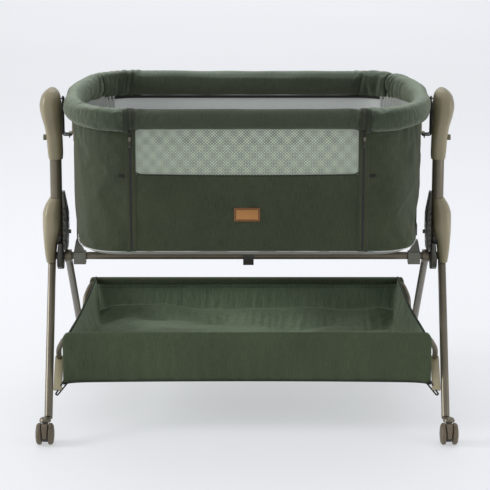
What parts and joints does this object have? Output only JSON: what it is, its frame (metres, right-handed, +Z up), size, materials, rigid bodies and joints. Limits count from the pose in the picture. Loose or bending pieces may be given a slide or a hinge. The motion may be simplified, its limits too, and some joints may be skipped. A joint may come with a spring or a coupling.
{
  "type": "bassinet on stand",
  "caption": "Fabric bassinet with mesh sides and a drop-down front, hung between height-adjustable uprights on folding legs with casters and a fabric basket.",
  "frame": {"origin": "on the floor under the centre of the object", "axes": "+X to the right along the cross bar, -Y towards the drop-down front side, +Z up"},
  "size_m": [0.969, 0.753, 0.7555],
  "materials": {
    "taupe_tube": "satin powder coat",
    "taupe_plastic": "satin moulded",
    "dark_plastic": "matt ribbed",
    "olive_plastic": "matt",
    "grey_plastic": "matt",
    "dark_wire": "satin",
    "caster_plastic": "satin",
    "green_fabric": "heathered weave",
    "basket_fabric": "plain weave",
    "webbing": "ribbed weave",
    "liner_fabric": "soft knit",
    "fibre_board": "fabric-covered fibreboard",
    "zip_metal": "satin",
    "mesh_fabric": "open knitted mesh",
    "label_leather": "smooth"
  },
  "bodies": {
    "stand": {"cross_bar": "taupe_tube", "centre_clip": "dark_plastic", "bar_clamp_left": "grey_plastic", "bar_clamp_right": "grey_plastic", "hub_cover_left": "taupe_plastic", "hub_cover_right": "taupe_plastic", "hub_inner_left": "dark_plastic", "hub_inner_right": "dark_plastic", "column_left": "taupe_tube", "column_right": "taupe_tube", "lower_strap_left": "webbing", "lower_strap_right": "webbing"},
    "front_legs": {"front_leg_left": "taupe_tube", "front_leg_right": "taupe_tube", "basket_bracket_front_left": "taupe_plastic", "basket_bracket_front_right": "taupe_plastic", "basket_bar_front": "taupe_tube", "basket_panel_front": "basket_fabric", "basket_sling": "basket_fabric"},
    "rear_legs": {"rear_leg_left": "taupe_tube", "rear_leg_right": "taupe_tube", "basket_bracket_rear_left": "taupe_plastic", "basket_bracket_rear_right": "taupe_plastic", "basket_bar_rear": "taupe_tube", "basket_panel_rear": "basket_fabric"},
    "left_lift": {"inner_column_left": "taupe_tube", "housing_left": "taupe_plastic", "hanger_left": "dark_wire"},
    "bassinet": {"rim_tube": "taupe_tube", "rim_pad": "green_fabric", "tub_wall": "green_fabric", "base_frame": "taupe_tube", "base_board": "fibre_board", "mattress": "liner_fabric", "hanger_tab_left": "taupe_plastic", "hanger_tab_right": "taupe_plastic", "end_strap_left": "webbing", "end_strap_right": "webbing"},
    "right_lift": {"inner_column_right": "taupe_tube", "housing_right": "taupe_plastic", "hanger_right": "dark_wire"},
    "drop_side": {"drop_rail": "taupe_tube", "drop_rail_pad": "green_fabric", "front_panel": "green_fabric"},
    "height_button_left": {"height_button_left": "olive_plastic"},
    "height_button_right": {"height_button_right": "olive_plastic"},
    "fold_button_left": {"fold_button_left": "olive_plastic"},
    "fold_button_right": {"fold_button_right": "olive_plastic"},
    "zip_left": {"zip_pull_left": "zip_metal"},
    "zip_right": {"zip_pull_right": "zip_metal"},
    "front_caster_left": {"front_caster_fork_left": "dark_plastic"},
    "front_wheels_left": {"front_caster_wheels_left": "caster_plastic"},
    "brake_left": {"brake_tongue_left": "caster_plastic"},
    "front_caster_right": {"front_caster_fork_right": "dark_plastic"},
    "front_wheels_right": {"front_caster_wheels_right": "caster_plastic"},
    "brake_right": {"brake_tongue_right": "caster_plastic"},
    "rear_caster_left": {"rear_caster_fork_left": "dark_plastic"},
    "rear_wheels_left": {"rear_caster_wheels_left": "caster_plastic"},
    "rear_caster_right": {"rear_caster_fork_right": "dark_plastic"},
    "rear_wheels_right": {"rear_caster_wheels_right": "caster_plastic"}
  },
  "joints": [
    {"name": "front_leg_fold", "type": "hinge", "parent": "stand", "child": "front_legs", "pos_m": [0, 0, 0.352], "axis": [1, 0, 0], "range_deg": [0, 38], "deforming": ["basket_sling"]},
    {"name": "rear_leg_fold", "type": "hinge", "parent": "front_legs", "child": "rear_legs", "pos_m": [0, 0, 0.352], "axis": [1, 0, 0], "range_deg": [-76, 0], "deforming": ["basket_sling"]},
    {"name": "left_height", "type": "slide", "parent": "stand", "child": "left_lift", "axis": [0, 0, 1], "range_m": [0, 0.14]},
    {"name": "bassinet_tilt", "type": "hinge", "parent": "left_lift", "child": "bassinet", "pos_m": [-0.41075, 0, 0.645], "axis": [0, -1, 0], "range_deg": [0, 2.4]},
    {"name": "right_height", "type": "slide", "parent": "left_lift", "child": "right_lift", "axis": [0, 0, 1], "range_m": [0, 0.035]},
    {"name": "drop_side_hinge", "type": "hinge", "parent": "bassinet", "child": "drop_side", "pos_m": [0, -0.266, 0.4265], "axis": [1, 0, 0], "range_deg": [0, 150]},
    {"name": "height_button_left_push", "type": "slide", "parent": "left_lift", "child": "height_button_left", "axis": [1, 0, 0], "range_m": [0, 0.0035], "stiffness_N_per_m": 300},
    {"name": "height_button_right_push", "type": "slide", "parent": "right_lift", "child": "height_button_right", "axis": [-1, 0, 0], "range_m": [0, 0.0035], "stiffness_N_per_m": 300},
    {"name": "fold_button_left_push", "type": "slide", "parent": "stand", "child": "fold_button_left", "axis": [-1, 0, 0], "range_m": [0, 0.003], "stiffness_N_per_m": 300},
    {"name": "fold_button_right_push", "type": "slide", "parent": "stand", "child": "fold_button_right", "axis": [1, 0, 0], "range_m": [0, 0.003], "stiffness_N_per_m": 300},
    {"name": "zip_left_slide", "type": "slide", "parent": "bassinet", "child": "zip_left", "axis": [0, 0.0296, -0.9996], "range_m": [0, 0.22]},
    {"name": "zip_right_slide", "type": "slide", "parent": "bassinet", "child": "zip_right", "axis": [0, 0.0296, -0.9996], "range_m": [0, 0.22]},
    {"name": "front_caster_left_swivel", "type": "hinge", "parent": "front_legs", "child": "front_caster_left", "pos_m": [-0.4555, -0.34, 0.05], "axis": [0, 0, 1], "continuous": true},
    {"name": "front_wheels_left_roll", "type": "hinge", "parent": "front_caster_left", "child": "front_wheels_left", "pos_m": [-0.4555, -0.352, 0.0245], "axis": [1, 0, 0], "continuous": true},
    {"name": "brake_left_press", "type": "hinge", "parent": "front_caster_left", "child": "brake_left", "pos_m": [-0.4555, -0.358, 0.046], "axis": [1, 0, 0], "range_deg": [0, 10]},
    {"name": "front_caster_right_swivel", "type": "hinge", "parent": "front_legs", "child": "front_caster_right", "pos_m": [0.4555, -0.34, 0.05], "axis": [0, 0, 1], "continuous": true},
    {"name": "front_wheels_right_roll", "type": "hinge", "parent": "front_caster_right", "child": "front_wheels_right", "pos_m": [0.4555, -0.352, 0.0245], "axis": [1, 0, 0], "continuous": true},
    {"name": "brake_right_press", "type": "hinge", "parent": "front_caster_right", "child": "brake_right", "pos_m": [0.4555, -0.358, 0.046], "axis": [1, 0, 0], "range_deg": [0, 10]},
    {"name": "rear_caster_left_swivel", "type": "hinge", "parent": "rear_legs", "child": "rear_caster_left", "pos_m": [-0.4265, 0.34, 0.05], "axis": [0, 0, 1], "continuous": true},
    {"name": "rear_wheels_left_roll", "type": "hinge", "parent": "rear_caster_left", "child": "rear_wheels_left", "pos_m": [-0.4265, 0.352, 0.0245], "axis": [1, 0, 0], "continuous": true},
    {"name": "rear_caster_right_swivel", "type": "hinge", "parent": "rear_legs", "child": "rear_caster_right", "pos_m": [0.4265, 0.34, 0.05], "axis": [0, 0, 1], "continuous": true},
    {"name": "rear_wheels_right_roll", "type": "hinge", "parent": "rear_caster_right", "child": "rear_wheels_right", "pos_m": [0.4265, 0.352, 0.0245], "axis": [1, 0, 0], "continuous": true}
  ],
  "couplings": [
    {"joint": "rear_leg_fold", "follows": "front_leg_fold", "ratio": -2},
    {"joint": "right_height", "follows": "bassinet_tilt", "m_per_rad": 0.8215}
  ]
}
